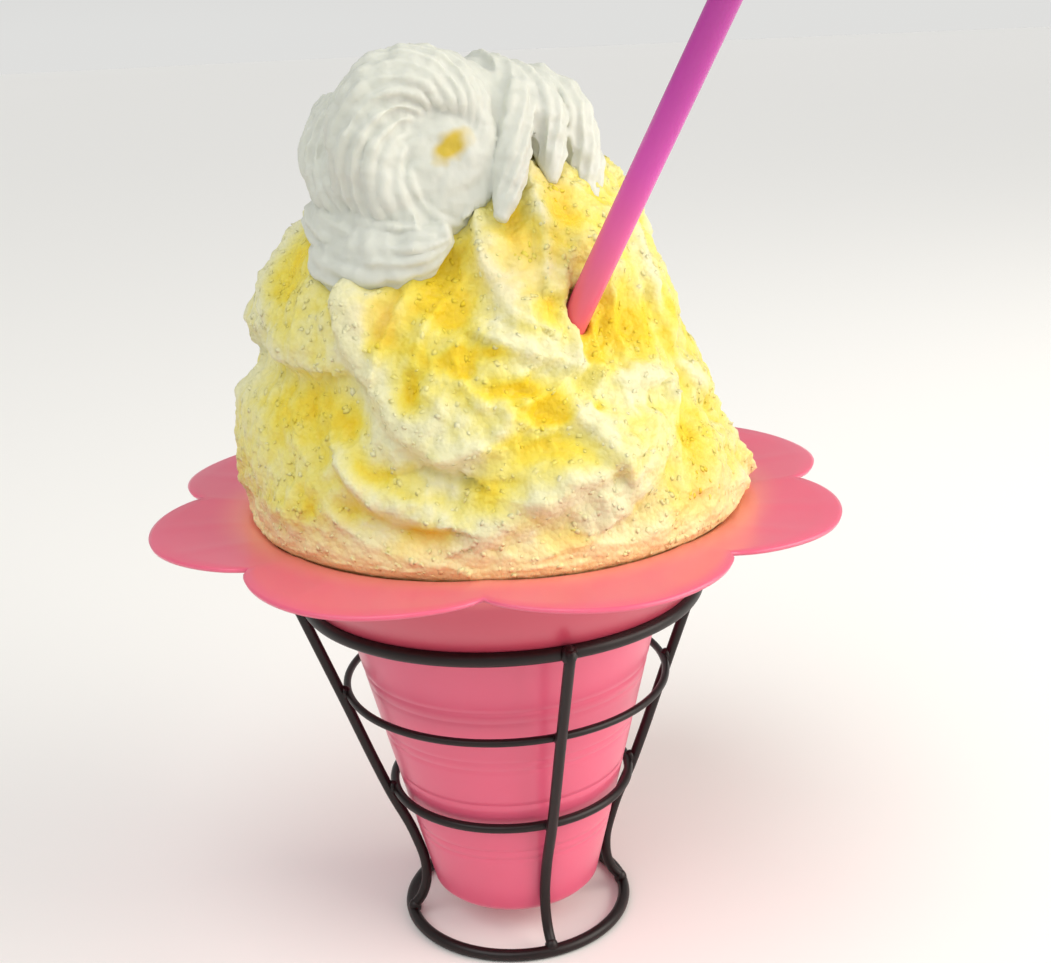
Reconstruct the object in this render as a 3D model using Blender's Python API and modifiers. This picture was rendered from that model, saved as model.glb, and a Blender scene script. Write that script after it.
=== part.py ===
"""Shaved ice with soft cream and a straw, in a flower-brimmed cup hung in a wire stand.

Standalone Blender 4.5 script. Lengths are in metres and +Z is up. The origin lies on the
stand's axis, level with the underside of its base ring, and the front of the heap faces -Y.
The cup and all it holds are modelled about the seat, the middle of the stand's top ring.
A bearing is an angle round the axis, from the front (-Y) towards the right (+X).
"""
import math

import bmesh
import bpy
from mathutils import Matrix, Vector

MM = 0.001
MERGE = 0.00001  # distance under which two points are one
GAP = 0.3  # clearance between neighbouring solids, mm

# Wire stand, mm. Rings: centre-line radius, height, wire radius, sides of the wire, steps round.
SEAT_HEIGHT = 90.0
BASE_WIRE = 1.5
WELD = 0.4  # how deep two wires run into each other at a weld
UPRIGHT_WIRE = 1.3
UPRIGHT_BEARINGS = (16.0, 95.0, 190.0, -78.0)  # hand-welded, so not quite a quarter turn apart
BASE_HEIGHT = BASE_WIRE * math.cos(math.pi / 8)  # its flat underside lies at height zero
RINGS = (
    (48.0, SEAT_HEIGHT, 1.7, 8, 56),
    (40.0, SEAT_HEIGHT - 24.2, 0.95, 6, 36),
    (30.0, SEAT_HEIGHT - 52.0, 1.15, 6, 32),
    (28.0, BASE_HEIGHT, BASE_WIRE, 8, 40),
)
UPRIGHT_TOP = (51.0, SEAT_HEIGHT + 1.5)
UPRIGHT_WAIST = ((25.8, 22.5), (23.9, 13.0), (25.1, 6.5))
UPRIGHT_FOOT_HEIGHT = 2.6

# Flower cup, mm above the seat. Outer side of the wall: radius, height.
CUP_WALL = 0.8
CUP_STEPS = 64
CUP_BODY = ((0.0, -80.0), (20.6, -80.0), (39.0, -1.6))
CUP_FLARE = ((47.0, 1.75), (51.2, 8.5), (54.0, 15.0), (56.4, 20.6))
CUP_BRIM = ((59.5, 22.6), (78.0, 24.0))
PETALS = 8
PETAL_TURN = 19.5  # bearing of one petal's tip
PETAL_TIP = 83.0
PETAL_VALLEY = 72.0
PETAL_ROUNDNESS = 0.7

# Heap of ice, mm above the seat: mean radius, height.
ICE_STEPS = 48
ICE_HEAP = (
    (56.8, 24.4), (58.6, 27.5), (59.6, 34.0), (57.2, 43.0), (54.0, 53.0), (50.2, 61.0), (49.4, 69.0),
    (46.8, 78.0), (42.2, 86.0), (37.4, 93.0), (31.0, 99.5), (22.0, 105.0), (11.0, 108.5), (0.0, 109.5),
)
ICE_LEAN = -6.0  # how far left the middle of the heap lies at its shoulder
ICE_LEAN_HEIGHTS = (26.0, 72.0, 112.0)  # where the lean starts, is greatest and ends
# Lumps and hollows: bearing, height, spread round, spread up, push outwards (degrees and mm).
ICE_LUMPS = (
    (-88.0, 38.0, 28.0, 9.0, 2.2),
    (-90.0, 60.5, 34.0, 4.5, -2.2),
    (-88.0, 72.0, 32.0, 4.5, 1.4),
    (-80.0, 84.0, 40.0, 7.0, -1.6),
    (-72.0, 25.5, 9.0, 4.0, -4.0),
    (92.0, 30.0, 11.0, 3.0, 2.6),
    (92.0, 44.0, 30.0, 9.0, -1.6),
    (92.0, 80.0, 30.0, 10.0, -1.2),
    (38.0, 73.0, 13.0, 8.0, -3.2),
    (8.0, 62.0, 22.0, 7.0, 2.0),
    (24.0, 46.0, 18.0, 6.0, 1.6),
    (-22.0, 92.0, 32.0, 9.0, -5.0),
)
# Ripples all round: height, waves round the heap, waves per metre upwards, phase.
ICE_RIPPLES = ((1.0, 4, 20.0, 0.4), (0.8, 7, -33.0, 1.9), (0.55, 12, 61.0, 4.4))

# Straw, mm about the seat: where it enters the ice, where it points, and its ends.
STRAW_RADIUS = 3.0
STRAW_WALL = 0.35
STRAW_SIDES = 20
STRAW_ENTRY = Vector((17.8, -36.0, 70.5))
STRAW_DIRECTION = Vector((28.4, -22.0, 62.5)).normalized()
STRAW_BELOW = 108.0  # length from the entry down to its lower end
STRAW_ABOVE = 89.0  # length from the entry up to its upper end

# Cream, mm about the seat: a folded crown, a low lobe and a strand that falls to the right.
CROWN_CENTRE = Vector((-10.3, -15.0, 102.0))
CROWN_RADII = Vector((23.2, 23.5, 25.3))
CROWN_FACING = Vector((0.33, -0.93, 0.12))  # the way the eye of the swirl looks
CROWN_FOLD = 0.07  # depth of the folds against the radius
CROWN_TURNS = 2.5  # turns of the fold from the eye to the back
LOBE_CENTRE = Vector((-19.5, -31.0, 87.0))
LOBE_RADII = Vector((13.5, 12.5, 9.0))
CREAM_CLEARANCE = 0.45  # how far the cream lies off the ice
STRAND = (
    ((-2.0, -8.0, 117.0), 6.5),
    ((9.0, -10.0, 115.0), 7.0),
    ((17.0, -12.0, 112.0), 6.5),
    ((20.5, -14.0, 105.0), 5.5),
    ((21.5, -17.0, 97.0), 4.5),
    ((22.5, -21.0, 88.0), 3.0),
)


def plain_material(name, colour, roughness, metallic=0.0):
    material = bpy.data.materials.new(name)
    material.use_nodes = True
    shader = material.node_tree.nodes["Principled BSDF"]
    shader.inputs["Base Color"].default_value = (*colour, 1.0)
    shader.inputs["Roughness"].default_value = roughness
    shader.inputs["Metallic"].default_value = metallic
    return material


def new_collection(name):
    collection = bpy.data.collections.new(name)
    bpy.context.scene.collection.children.link(collection)
    return collection


def mesh_object(name, bm, collection, parent=None):
    """Turn a bmesh into a named object, under the seat where one is given."""
    mesh = bpy.data.meshes.new(name)
    bm.to_mesh(mesh)
    bm.free()
    obj = bpy.data.objects.new(name, mesh)
    obj.parent = parent
    collection.objects.link(obj)
    return obj


def as_guide(obj):
    obj.hide_render = True
    obj.display_type = "WIRE"
    return obj


def boolean(obj, operation, tool):
    """Cut or join an object with another one, or with all of a collection."""
    modifier = obj.modifiers.new(operation.title(), "BOOLEAN")
    modifier.operation = operation
    modifier.solver = "EXACT"
    if isinstance(tool, bpy.types.Collection):
        modifier.operand_type = "COLLECTION"
        modifier.collection = tool
    else:
        modifier.object = tool


def shade_round(obj, angle=35.0):
    obj.data.shade_smooth()
    obj.data.set_sharp_from_angle(angle=math.radians(angle))


def around(radius, bearing, height):
    """The point at a radius (mm), a bearing (degrees) and a height (mm)."""
    turn = math.radians(bearing)
    return Vector((radius * math.sin(turn), -radius * math.cos(turn), height)) * MM


def turned(profile, steps, bearing=0.0):
    """A bmesh turned round the axis from (radius, height) points in mm, welded at its poles."""
    bm = bmesh.new()
    points = [bm.verts.new(around(radius, bearing, height)) for radius, height in profile]
    edges = [bm.edges.new(pair) for pair in zip(points, points[1:])]
    bmesh.ops.spin(
        bm, geom=points + edges, cent=(0, 0, 0), axis=(0, 0, 1),
        angle=2 * math.pi, steps=steps, use_merge=True,
    )
    bmesh.ops.remove_doubles(bm, verts=bm.verts, dist=MERGE)
    bmesh.ops.recalc_face_normals(bm, faces=bm.faces)
    return bm


def inset(profile, distance):
    """The (radius, height) line that runs at a distance inside a cup's outer side."""
    result = []
    for index, (radius, height) in enumerate(profile):
        before = Vector(profile[max(index - 1, 0)])
        after = Vector(profile[min(index + 1, len(profile) - 1)])
        here = Vector((radius, height))
        sides = [side.normalized() for side in (here - before, after - here) if side.length > 0]
        normals = [Vector((-side.y, side.x)) for side in sides]
        middle = sum(normals, Vector((0.0, 0.0))).normalized()
        moved = here + middle * distance / middle.dot(normals[0])
        result.append((max(moved.x, 0.0) if radius > 0 else 0.0, moved.y))
    return result


def bell(value, spread):
    return math.exp(-((value / spread) ** 2))


def degrees_apart(first, second):
    return (first - second + 180.0) % 360.0 - 180.0


def wire_ring(name, ring, collection):
    """A closed wire ring with level flats above and below."""
    radius, height, wire, sides, steps = ring
    bm = bmesh.new()
    upright = Matrix.Rotation(math.pi / 2, 4, "X") @ Matrix.Rotation(math.pi / sides, 4, "Z")
    place = Matrix.Translation(Vector((radius, 0.0, height)) * MM) @ upright
    bmesh.ops.create_circle(bm, radius=wire * MM, segments=sides, matrix=place)
    bmesh.ops.spin(
        bm, geom=bm.verts[:] + bm.edges[:], cent=(0, 0, 0), axis=(0, 0, 1),
        angle=2 * math.pi, steps=steps, use_merge=True,
    )
    bmesh.ops.recalc_face_normals(bm, faces=bm.faces)
    return mesh_object(name, bm, collection)


def tube(name, stations, collection, parent=None, smooth_steps=3):
    """A closed round rod through (place, radius) stations in mm, as a welded mesh."""
    curve = bpy.data.curves.new(name, "CURVE")
    curve.dimensions = "3D"
    curve.bevel_depth = MM
    curve.bevel_resolution = 2
    curve.resolution_u = smooth_steps
    curve.use_fill_caps = True
    spline = curve.splines.new("BEZIER")
    spline.bezier_points.add(len(stations) - 1)
    for point, (place, radius) in zip(spline.bezier_points, stations):
        point.co = Vector(place) * MM
        point.radius = radius
        point.handle_left_type = "AUTO"
        point.handle_right_type = "AUTO"
    source = bpy.data.objects.new(name + "_curve", curve)
    collection.objects.link(source)
    bpy.context.view_layer.update()
    evaluated = source.evaluated_get(bpy.context.evaluated_depsgraph_get())
    mesh = bpy.data.meshes.new_from_object(evaluated)
    bpy.data.objects.remove(source)
    bm = bmesh.new()
    bm.from_mesh(mesh)
    bmesh.ops.remove_doubles(bm, verts=bm.verts, dist=MERGE)
    bmesh.ops.recalc_face_normals(bm, faces=bm.faces)
    return mesh_object(name, bm, collection, parent)


def wire_stand(collection, guides):
    """Four rings welded inside four bowed uprights, made one body by a union."""
    top, middle, low, base = RINGS
    stand = wire_ring("wire_stand", top, collection)
    for name, ring in (("middle_ring", middle), ("low_ring", low), ("base_ring", base)):
        as_guide(wire_ring(name, ring, guides))
    welds = [(ring[0] + ring[2] + UPRIGHT_WIRE - WELD, ring[1]) for ring in (middle, low)]
    foot = (base[0], UPRIGHT_FOOT_HEIGHT)
    line = [UPRIGHT_TOP, *welds, *UPRIGHT_WAIST, foot]
    for number, bearing in enumerate(UPRIGHT_BEARINGS):
        stations = [(around(radius, bearing, height) / MM, UPRIGHT_WIRE) for radius, height in line]
        as_guide(tube(f"upright_{number}", stations, guides))
    boolean(stand, "UNION", guides)
    shade_round(stand)
    return stand


def petal_edge(bearing):
    """Radius of the brim's edge: round petals that meet in narrow valleys."""
    swing = math.radians(bearing - PETAL_TURN) * PETALS / 2
    return PETAL_VALLEY + (PETAL_TIP - PETAL_VALLEY) * abs(math.cos(swing)) ** PETAL_ROUNDNESS


def flower_cup(collection, seat):
    """A thin cup turned in one sheet, whose level brim is drawn out into petals."""
    bm = turned(CUP_BODY + CUP_FLARE + CUP_BRIM, CUP_STEPS, PETAL_TURN)
    start = CUP_FLARE[-1][0]
    reach = CUP_BRIM[-1][0] - start
    for vert in bm.verts:
        radius = vert.co.xy.length / MM
        if radius > start + MERGE:
            bearing = math.degrees(math.atan2(vert.co.x, -vert.co.y))
            stretched = start + (radius - start) * (petal_edge(bearing) - start) / reach
            vert.co.xy *= stretched / radius
    cup = mesh_object("flower_cup", bm, collection, seat)
    wall = cup.modifiers.new("Wall", "SOLIDIFY")
    wall.thickness = CUP_WALL * MM
    wall.offset = -1.0
    wall.use_even_offset = True
    shade_round(cup)
    return cup


def heap_surface(co):
    """Push a point of the turned heap out to its lumps, hollows and lean."""
    height = co.z / MM
    if height < ICE_HEAP[0][1] - MERGE:
        return co
    radius = co.xy.length / MM
    bearing = math.degrees(math.atan2(co.x, -co.y))
    push = 0.0
    loose = min(1.0, (height - ICE_HEAP[0][1]) / 10.0) * min(1.0, radius / 20.0)
    for size, waves, climb, phase in ICE_RIPPLES:
        push += loose * size * math.sin(waves * math.radians(bearing) + climb * co.z * 2 * math.pi + phase)
    for lump_bearing, lump_height, round_spread, up_spread, size in ICE_LUMPS:
        away = degrees_apart(bearing, lump_bearing)
        push += size * bell(away, round_spread) * bell(height - lump_height, up_spread)
    start, greatest, end = ICE_LEAN_HEIGHTS
    if height < greatest:
        share = max(0.0, (height - start) / (greatest - start))
    else:
        share = max(0.0, (end - height) / (end - greatest))
    lean = ICE_LEAN * share * share * (3 - 2 * share)
    spread = 1.0 + push / radius if radius > MERGE else 1.0
    return Vector((co.x * spread + lean * MM, co.y * spread, co.z))


def heap_body(grow=0.0):
    """The ice from the cup's floor to the top of the heap, grown outwards by a few tenths (mm)."""
    clear = CUP_WALL + GAP + 0.1
    lining = inset(CUP_BODY + CUP_FLARE + CUP_BRIM[:1], clear)[:-1]
    bm = turned([*lining, *ICE_HEAP], ICE_STEPS)
    for vert in bm.verts:
        vert.co = heap_surface(vert.co)
    bmesh.ops.triangulate(bm, faces=bm.faces)
    bm.normal_update()
    for vert in bm.verts:
        vert.co += vert.normal * grow * MM
    return bm


def straw_frame():
    """The straw's own frame: origin where it enters the ice, Z up along it."""
    turn = STRAW_DIRECTION.to_track_quat("Z", "Y").to_matrix().to_4x4()
    return Matrix.Translation(STRAW_ENTRY * MM) @ turn


def rod_along_straw(name, radius, low, high, capped, collection, seat):
    bm = bmesh.new()
    middle = Matrix.Translation((0.0, 0.0, (low + high) / 2 * MM))
    bmesh.ops.create_cone(
        bm, cap_ends=capped, segments=STRAW_SIDES, radius1=radius * MM, radius2=radius * MM,
        depth=(high - low) * MM, matrix=middle,
    )
    rod = mesh_object(name, bm, collection, seat)
    rod.matrix_local = straw_frame()
    return rod


def straw(collection, seat):
    """A thin-walled tube, open at both ends."""
    tube_wall = rod_along_straw(
        "straw", STRAW_RADIUS, -STRAW_BELOW, STRAW_ABOVE, False, collection, seat,
    )
    wall = tube_wall.modifiers.new("Wall", "SOLIDIFY")
    wall.thickness = STRAW_WALL * MM
    wall.offset = -1.0
    shade_round(tube_wall)
    return tube_wall


def shaved_ice(collection, guides, seat):
    """One heap that fills the cup, with the straw's channel through it."""
    ice = mesh_object("shaved_ice", heap_body(), collection, seat)
    channel = (STRAW_RADIUS + GAP) / math.cos(math.pi / STRAW_SIDES)
    bore = rod_along_straw(
        "straw_channel", channel, -STRAW_BELOW - GAP, STRAW_ABOVE / 2, True, guides, seat,
    )
    boolean(ice, "DIFFERENCE", as_guide(bore))
    shade_round(ice, 60.0)
    return ice


def crown(collection, seat):
    """The folded crown: a ball whose surface winds in one fold round the eye of the swirl."""
    bm = bmesh.new()
    bmesh.ops.create_uvsphere(bm, u_segments=32, v_segments=18, radius=1.0)
    for vert in bm.verts:
        bearing = math.atan2(vert.co.y, vert.co.x)
        tilt = math.acos(max(-1.0, min(1.0, vert.co.z)))
        fold = math.cos(bearing + 2 * math.pi * CROWN_TURNS * tilt / math.pi)
        vert.co *= 1.0 + CROWN_FOLD * fold * math.sin(tilt)
    turn = CROWN_FACING.to_track_quat("Z", "Y").to_matrix().to_4x4()
    grown = Matrix.Diagonal((*CROWN_RADII * MM, 1.0))
    bmesh.ops.transform(bm, matrix=Matrix.Translation(CROWN_CENTRE * MM) @ grown @ turn, verts=bm.verts)
    return mesh_object("cream", bm, collection, seat)


def cream(collection, guides, seat):
    """The crown joined with its low lobe and its falling strand, lying clear of the ice."""
    extras = new_collection("cream_extras")
    body = crown(collection, seat)
    bm = bmesh.new()
    lobe = Matrix.Translation(LOBE_CENTRE * MM) @ Matrix.Diagonal((*LOBE_RADII * MM, 1.0))
    bmesh.ops.create_uvsphere(bm, u_segments=16, v_segments=10, radius=1.0, matrix=lobe)
    as_guide(mesh_object("cream_lobe", bm, extras, seat))
    as_guide(tube("cream_strand", STRAND, extras, seat))
    boolean(body, "UNION", extras)
    under = as_guide(mesh_object("ice_under_cream", heap_body(CREAM_CLEARANCE), guides, seat))
    boolean(body, "DIFFERENCE", under)
    shade_round(body, 50.0)
    return body


for old in list(bpy.data.objects):
    bpy.data.objects.remove(old)

parts = new_collection("shaved_ice_dessert")
welded = new_collection("welded_wires")
cutters = new_collection("cutters")
seat_frame = bpy.data.objects.new("seat", None)
seat_frame.location = (0.0, 0.0, SEAT_HEIGHT * MM)
parts.objects.link(seat_frame)

FINISHES = (
    (wire_stand(parts, welded), (0.012, 0.011, 0.012), 0.3, 0.0),
    (flower_cup(parts, seat_frame), (0.80, 0.17, 0.24), 0.35, 0.0),
    (shaved_ice(parts, cutters, seat_frame), (0.84, 0.72, 0.22), 0.5, 0.0),
    (cream(parts, cutters, seat_frame), (0.80, 0.83, 0.76), 0.5, 0.0),
    (straw(parts, seat_frame), (0.80, 0.14, 0.45), 0.3, 0.0),
)
for piece, colour, roughness, metallic in FINISHES:
    piece.data.materials.append(plain_material(piece.name + "_finish", colour, roughness, metallic))
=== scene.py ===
import math
import random

import bmesh
import bpy
from mathutils import Euler, Matrix, Vector, noise


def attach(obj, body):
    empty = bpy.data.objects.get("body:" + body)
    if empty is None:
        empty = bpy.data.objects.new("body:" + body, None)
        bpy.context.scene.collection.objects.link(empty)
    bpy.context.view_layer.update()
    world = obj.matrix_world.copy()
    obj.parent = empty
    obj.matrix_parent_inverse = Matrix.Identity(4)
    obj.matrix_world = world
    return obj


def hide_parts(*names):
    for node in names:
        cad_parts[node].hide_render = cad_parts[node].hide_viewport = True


# Shaved ice with soft cream and a straw, in a flower-brimmed cup hung in a wire stand.
# Sizes are in millimetres. The cup and all it holds are measured from the seat, the middle of the
# stand's top ring. A bearing is an angle round the axis, from the front towards the right.
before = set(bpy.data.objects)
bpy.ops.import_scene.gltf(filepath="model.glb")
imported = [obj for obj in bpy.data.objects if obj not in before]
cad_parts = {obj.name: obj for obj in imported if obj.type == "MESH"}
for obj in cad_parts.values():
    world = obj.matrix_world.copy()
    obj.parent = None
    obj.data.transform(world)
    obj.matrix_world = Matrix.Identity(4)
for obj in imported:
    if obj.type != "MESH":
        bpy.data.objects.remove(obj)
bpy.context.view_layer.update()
MM = 0.001
SEAT = Vector((0.0, 0.0, 90.0))


# ---- The studio ----
# A pale matt floor that runs out to the horizon, a broad light from above, a large soft panel to the
# right for the sheen and the bright side, and a pale sky that is brighter at the horizon. The camera
# looks slightly down and leans a few degrees.
def linear(hex_colour):
    """An sRGB hex colour as linear red, green, blue and alpha."""
    parts = [int(hex_colour[place:place + 2], 16) / 255 for place in (1, 3, 5)]
    return (*[part / 12.92 if part <= 0.04045 else ((part + 0.055) / 1.055) ** 2.4 for part in parts], 1.0)


def add_node(tree, kind, values=(), links=(), **settings):
    """Add a node with its settings and socket values, and link what feeds it."""
    node = tree.nodes.new(kind)
    for name, value in settings.items():
        setattr(node, name, value)
    for socket, value in dict(values).items():
        node.inputs[socket].default_value = value
    for socket, source in dict(links).items():
        tree.links.new(source, node.inputs[socket])
    return node


def new_material(name):
    material = bpy.data.materials.new(name)
    material.use_nodes = True
    return material, material.node_tree, material.node_tree.nodes["Principled BSDF"]


def new_object(name, data):
    made = bpy.data.objects.new(name, data)
    bpy.context.scene.collection.objects.link(made)
    return made


camera = new_object("front_camera", bpy.data.cameras.new("front_camera"))
camera.data.sensor_width = 36.0
camera.data.lens = 50.42
camera.data.clip_start = 0.01
CAMERA_TURNS = ((69.0, "X"), (-1.12, "Y"), (3.76, "X"), (-3.05, "Z"))
camera.matrix_world = Matrix.Translation(Vector((0.0, -340.8, 220.8)) * MM)
for turn, axis in CAMERA_TURNS:
    camera.matrix_world = camera.matrix_world @ Matrix.Rotation(math.radians(turn), 4, axis)
bpy.context.scene.camera = camera
bpy.context.scene.view_settings.view_transform = "Standard"

FLOOR_RADIUS = 14.0  # metres, so that its edge lies at the horizon
floor_paint, tree, shader = new_material("matt_studio_floor")
mottle = add_node(tree, "ShaderNodeTexNoise", {"Scale": 3.0, "Detail": 2.0})
tone = add_node(
    tree, "ShaderNodeMix", {"A": linear("#f4f3f0"), "B": linear("#f8f7f5")},
    {"Factor": mottle.outputs["Fac"]}, data_type="RGBA",
)
tree.links.new(tone.outputs["Result"], shader.inputs["Base Color"])
shader.inputs["Roughness"].default_value = 0.9
shader.inputs["Specular IOR Level"].default_value = 0.0  # no glare from the panel
bm = bmesh.new()
bmesh.ops.create_circle(bm, cap_ends=True, segments=64, radius=FLOOR_RADIUS)
mesh = bpy.data.meshes.new("studio_floor")
bm.to_mesh(mesh)
bm.free()
mesh.materials.append(floor_paint)
new_object("studio_floor", mesh)

sky = bpy.data.worlds.new("pale_sky")
bpy.context.scene.world = sky
sky.use_nodes = True
SKY_LIGHT = 0.43
HORIZON_LIGHT = 0.74
view_ray = add_node(sky.node_tree, "ShaderNodeTexCoord")
ray_parts = add_node(sky.node_tree, "ShaderNodeSeparateXYZ", links={"Vector": view_ray.outputs["Generated"]})
height_share = add_node(
    sky.node_tree, "ShaderNodeMapRange",
    {"From Min": 0.0, "From Max": 0.2, "To Min": HORIZON_LIGHT, "To Max": SKY_LIGHT},
    {"Value": ray_parts.outputs["Z"]}, interpolation_type="SMOOTHSTEP",
)
sky_shader = sky.node_tree.nodes["Background"]
sky_shader.inputs["Color"].default_value = linear("#fffffd")
sky.node_tree.links.new(height_share.outputs["Result"], sky_shader.inputs["Strength"])


def towards(bearing, height_angle):
    """The direction to a light at a bearing and a height angle, in degrees."""
    turn, rise = math.radians(bearing), math.radians(height_angle)
    return Vector((math.sin(turn) * math.cos(rise), -math.cos(turn) * math.cos(rise), math.sin(rise)))


TOP_LIGHT = towards(-32.0, 56.0)
top_light = new_object("top_light", bpy.data.lights.new("top_light", "SUN"))
top_light.data.energy = 1.46
top_light.data.angle = math.radians(55.0)  # wide, so that its shadows are soft
top_light.matrix_world = TOP_LIGHT.to_track_quat("Z", "Y").to_matrix().to_4x4()

PANEL = towards(72.0, 24.0)
PANEL_AWAY = 1.1  # metres, as are the panel's sides and the height it looks at
PANEL_AIM = Vector((0.0, 0.0, 0.12))
panel = new_object("soft_panel", bpy.data.lights.new("soft_panel", "AREA"))
panel.data.shape = "RECTANGLE"
panel.data.size = 1.1
panel.data.size_y = 0.9
panel.data.energy = 11.5
panel.data.color = linear("#fff8ee")[:3]
panel.matrix_world = (
    Matrix.Translation(PANEL * PANEL_AWAY + PANEL_AIM) @ PANEL.to_track_quat("Z", "Y").to_matrix().to_4x4()
)


# ---- Wire stand ----
# Four rings of steel wire welded inside four bowed uprights, then dipped in gloss black paint.
# The paint rounds off the welds and gathers a little on them.
def around(radius, bearing, height):
    """The point at a radius, a bearing (degrees) and a height, in mm."""
    turn = math.radians(bearing)
    return Vector((radius * math.sin(turn), -radius * math.cos(turn), height))


def add_piece(name, bm, material, slot, *stands_for):
    """Turn a bmesh into a smooth piece in its material that stands for its CAD nodes."""
    mesh = bpy.data.meshes.new(name)
    bm.to_mesh(mesh)
    bm.free()
    mesh.shade_smooth()
    mesh.materials.append(material)
    piece = new_object(name, mesh)
    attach(piece, "root")
    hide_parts(*stands_for)
    return piece


def rod_mesh(stations, section=None, steps=8, sides=6):
    """A capped rod through (place, radius, twist) stations in mm, round or of a given section."""
    curve = bpy.data.curves.new("rod", "CURVE")
    curve.dimensions = "3D"
    curve.resolution_u = steps
    curve.use_fill_caps = True
    curve.twist_mode = "MINIMUM"
    if section:
        curve.bevel_mode = "OBJECT"
        curve.bevel_object = section
    else:
        curve.bevel_depth = MM
        curve.bevel_resolution = sides
    spline = curve.splines.new("BEZIER")
    spline.bezier_points.add(len(stations) - 1)
    for point, (place, radius, twist) in zip(spline.bezier_points, stations):
        point.co = Vector(place) * MM
        point.radius = radius
        point.tilt = math.radians(twist)
        point.handle_left_type = "AUTO"
        point.handle_right_type = "AUTO"
    source = new_object("rod", curve)
    bpy.context.view_layer.update()
    mesh = bpy.data.meshes.new_from_object(source.evaluated_get(bpy.context.evaluated_depsgraph_get()))
    bpy.data.objects.remove(source)
    return mesh


# Rings: centre-line radius, height above the floor, wire radius.
STAND_RINGS = ((48.0, 90.0, 1.7), (40.0, 65.8, 0.95), (30.0, 38.0, 1.15), (28.0, 1.5, 1.5))
UPRIGHT_WIRE = 1.3
UPRIGHT_BEARINGS = (16.0, 95.0, 190.0, -78.0)
UPRIGHT_LINE = (
    (51.0, 91.5), (41.85, 65.8), (32.05, 38.0), (25.8, 22.5), (23.9, 13.0), (25.1, 6.5), (28.0, 2.6),
)
WELD_BEADS = ((49.6, 90.0, 1.9), (40.9, 65.8, 1.5), (31.0, 38.0, 1.5), (27.6, 2.6, 1.7))
WELD_STRETCH = Matrix.Diagonal((1.0, 1.0, 1.25, 1.0))

wires = bmesh.new()
for ring_radius, height, wire in STAND_RINGS:
    ring = bmesh.new()
    place = Matrix.Translation(Vector((ring_radius, 0.0, height)) * MM) @ Matrix.Rotation(math.pi / 2, 4, "X")
    bmesh.ops.create_circle(ring, radius=wire * MM, segments=16, matrix=place)
    bmesh.ops.spin(
        ring, geom=ring.verts[:] + ring.edges[:], cent=(0, 0, 0), axis=(0, 0, 1),
        angle=2 * math.pi, steps=160, use_merge=True,
    )
    bmesh.ops.recalc_face_normals(ring, faces=ring.faces)
    mesh = bpy.data.meshes.new("ring")
    ring.to_mesh(mesh)
    ring.free()
    wires.from_mesh(mesh)
for bearing in UPRIGHT_BEARINGS:
    stations = [(around(radius, bearing, height), UPRIGHT_WIRE, 0.0) for radius, height in UPRIGHT_LINE]
    wires.from_mesh(rod_mesh(stations))
    for radius, height, size in WELD_BEADS:
        place = Matrix.Translation(around(radius, bearing, height) * MM) @ WELD_STRETCH
        bmesh.ops.create_uvsphere(wires, u_segments=12, v_segments=8, radius=size * MM, matrix=place)
bmesh.ops.remove_doubles(wires, verts=wires.verts, dist=0.00001)
lowest = min(vert.co.z for vert in wires.verts)
bmesh.ops.translate(wires, vec=(0.0, 0.0, max(0.0, -lowest)), verts=wires.verts)

# Dipped enamel: a deep black with a warm cast, a wet shine and a slight orange peel about 2 mm across.
enamel, tree, shader = new_material("dipped_black_enamel")
place = add_node(tree, "ShaderNodeTexCoord")
peel = add_node(
    tree, "ShaderNodeTexNoise", {"Scale": 500.0, "Detail": 2.0}, {"Vector": place.outputs["Object"]},
)
rub = add_node(
    tree, "ShaderNodeTexNoise", {"Scale": 90.0, "Detail": 4.0}, {"Vector": place.outputs["Object"]},
)
tone = add_node(
    tree, "ShaderNodeMix", {"A": linear("#0b0101"), "B": linear("#180404")},
    {"Factor": rub.outputs["Fac"]}, data_type="RGBA",
)
shine = add_node(
    tree, "ShaderNodeMapRange", {"To Min": 0.3, "To Max": 0.5}, {"Value": rub.outputs["Fac"]},
)
relief = add_node(
    tree, "ShaderNodeBump", {"Strength": 0.25, "Distance": 0.0001}, {"Height": peel.outputs["Fac"]},
)
tree.links.new(tone.outputs["Result"], shader.inputs["Base Color"])
tree.links.new(shine.outputs["Result"], shader.inputs["Roughness"])
tree.links.new(relief.outputs["Normal"], shader.inputs["Normal"])
shader.inputs["Specular IOR Level"].default_value = 0.4
add_piece("welded_wire_stand", wires, enamel, "wire_stand", "wire_stand")


# ---- Flower cup ----
# One sheet of soft pink plastic, vacuum-moulded: a ribbed tapering cup, a steep bowl and a level
# brim drawn out into eight petals. It hangs by its shoulder on the stand's top ring.
CUP_WALL = 0.8
CUP_STEPS = 256
CUP_BASE = ((0.0, -80.0), (19.8, -80.0), (20.6, -79.2))
CUP_TAPER = ((20.6, -79.2), (39.0, -1.6))  # straight wall, before its ribs
CUP_RIBS = ((-19.0, 1.1), (-22.0, 0.8), (-33.5, 0.8), (-36.0, 1.1), (-46.5, 1.3), (-61.0, 1.1), (-63.5, 0.8))
RIB_DEPTH = 0.28
CUP_SHOULDER = ((43.2, -0.9), (45.6, 0.2), (47.0, 1.75))
CUP_BOWL = ((48.6, 4.4), (49.9, 6.4), (51.2, 8.5), (52.6, 11.6), (54.0, 15.0), (55.2, 17.9), (56.4, 20.6))
CUP_BRIM = (
    (57.4, 21.7), (59.5, 22.6), (62.5, 22.9), (66.0, 23.2), (70.0, 23.5), (74.0, 23.8), (77.3, 24.0),
    (78.0, 23.75),
)
PETALS = 8
PETAL_TURN = 19.5
PETAL_TIP = 83.0
PETAL_VALLEY = 72.0
PETAL_ROUNDNESS = 0.7


def bell(value, spread):
    return math.exp(-((value / spread) ** 2))


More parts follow.
